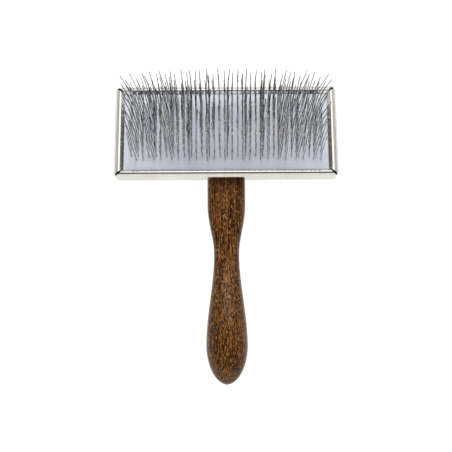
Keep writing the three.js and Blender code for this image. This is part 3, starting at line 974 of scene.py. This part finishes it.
def make_camera():
    """The camera looks down on the brush, from slightly on the handle's side."""
    aim = Vector((-0.25 * MM, EDGE_Y - 24.18 * MM, 15 * MM))
    distance = 518 * MM
    tilt = math.radians(6)
    roll = math.radians(-0.3)
    data = bpy.data.cameras.new("camera")
    camera = bpy.data.objects.new("camera", data)
    bpy.context.scene.collection.objects.link(camera)
    camera.location = aim + Vector((0, -math.sin(tilt), math.cos(tilt))) * distance
    turn = Matrix.Rotation(tilt, 3, "X") @ Matrix.Rotation(roll, 3, "Z")
    camera.rotation_euler = turn.to_euler()
    data.sensor_width = 36
    data.lens = 78.4
    data.clip_start = 10 * MM
    data.clip_end = 10
    bpy.context.scene.camera = camera


def make_floor():
    """A pale floor that shines a little, as if lit evenly from everywhere."""
    mesh = bpy.data.meshes.new("floor")
    half = 1.5
    mesh.from_pydata([(-half, -half, 0), (half, -half, 0), (half, half, 0), (-half, half, 0)],
                     [], [(0, 1, 2, 3)])
    floor = bpy.data.objects.new("floor", mesh)
    bpy.context.scene.collection.objects.link(floor)
    s = Shader("floor")
    s.set(Base_Color=(0.3, 0.3, 0.3, 1), Roughness=0.8, Specular_IOR_Level=0.1,
          Emission_Color=(1, 1, 1, 1), Emission_Strength=0.9)
    mesh.materials.append(s.material)


Window = namedtuple("Window", "level lean side soft")

# Patches of sky, in degrees. Each lies between two leans from straight up towards +Y and between
# two angles towards +X, and fades by the last number to either side of its edges.
SKY_LEVEL = 0.72
DARK_CEILING = Window(0.12, (-43, 15), (-50, 50), 4)
BRIGHT_HANDLE_SIDE = Window(1.15, (-95, -48), (-60, 60), 4)
DIM_FAR_LEFT = Window(0.32, (15, 60), (-30, -7), 3)
BRIGHT_FAR_STRIP = Window(1.85, (15, 54), (-6.8, 7.5), 2)


def make_sky():
    """A pale room whose patches, later ones on top, give the metal its bright and dark lines."""
    world = bpy.data.worlds.new("studio")
    bpy.context.scene.world = world
    world.use_nodes = True
    tree = world.node_tree
    level = SKY_LEVEL
    for window in (DARK_CEILING, BRIGHT_HANDLE_SIDE, DIM_FAR_LEFT, BRIGHT_FAR_STRIP):
        level = sky_window(tree, level, window)
    tree.links.new(level, tree.nodes["Background"].inputs["Color"])


def sky_math(tree, operation, *values):
    node = tree.nodes.new("ShaderNodeMath")
    node.operation = operation
    for socket, value in zip(node.inputs, values):
        feed(tree.links, socket, value)
    return node.outputs[0]


def soft_step(tree, angle, edge, turn, soft):
    """Rises from 0 to 1 around an angle where turn is 1, and falls where it is -1."""
    step = tree.nodes.new("ShaderNodeMapRange")
    step.interpolation_type = "SMOOTHSTEP"
    tree.links.new(angle, step.inputs["Value"])
    step.inputs["From Min"].default_value = math.radians(edge - turn * soft)
    step.inputs["From Max"].default_value = math.radians(edge + turn * soft)
    return step.outputs["Result"]


def sky_window(tree, around, window):
    """Mixes one patch into the sky around it."""
    place = tree.nodes.new("ShaderNodeTexCoord").outputs["Generated"]
    parts = tree.nodes.new("ShaderNodeSeparateXYZ")
    tree.links.new(place, parts.inputs[0])
    lean = sky_math(tree, "ARCTAN2", parts.outputs["Y"], parts.outputs["Z"])
    side = sky_math(tree, "ARCSINE", parts.outputs["X"])
    share = 1
    for angle, (low, high) in ((lean, window.lean), (side, window.side)):
        for edge, turn in ((low, 1), (high, -1)):
            inside = soft_step(tree, angle, edge, turn, window.soft)
            share = sky_math(tree, "MULTIPLY", share, inside)
    mix = tree.nodes.new("ShaderNodeMix")
    feed(tree.links, mix.inputs[0], share)
    feed(tree.links, mix.inputs[2], around)
    feed(tree.links, mix.inputs[3], window.level)
    return mix.outputs[0]


def area_light(name, place, aim, size, power):
    """A soft light that isn't seen mirrored in the metal."""
    data = bpy.data.lights.new(name, "AREA")
    data.shape = "RECTANGLE"
    data.size, data.size_y = size
    data.energy = power
    light = bpy.data.objects.new(name, data)
    bpy.context.scene.collection.objects.link(light)
    light.location = place
    light.rotation_euler = (Vector(aim) - Vector(place)).to_track_quat("-Z", "Y").to_euler()
    light.visible_glossy = False


def make_studio():
    make_camera()
    make_floor()
    make_sky()
    area_light("overhead_strip", place=(0, 0.65, 0.85), aim=(0, 0.02, 0), size=(0.3, 0.9), power=9)
    bpy.context.scene.view_settings.view_transform = "Standard"


# ------------------------------------------------------------------ the brush


def dress_cad_nodes():
    """The liner and the screws keep their CAD shape and get better materials."""
    for material, names in ((fibreboard(), ["liner_board"]),
                            (screw_steel(), ["wood_screw_1", "wood_screw_2", "wood_screw_3"])):
        for name in names:
            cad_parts[name].material_slots[0].material = material


make_studio()
make_handle(stained_beech())
make_pan(nickel_plate())
make_foam(foam_rubber())
make_cloth(woven_cotton())
make_rubber(blue_grey_rubber())
make_wires(wire_steel())
dress_cad_nodes()
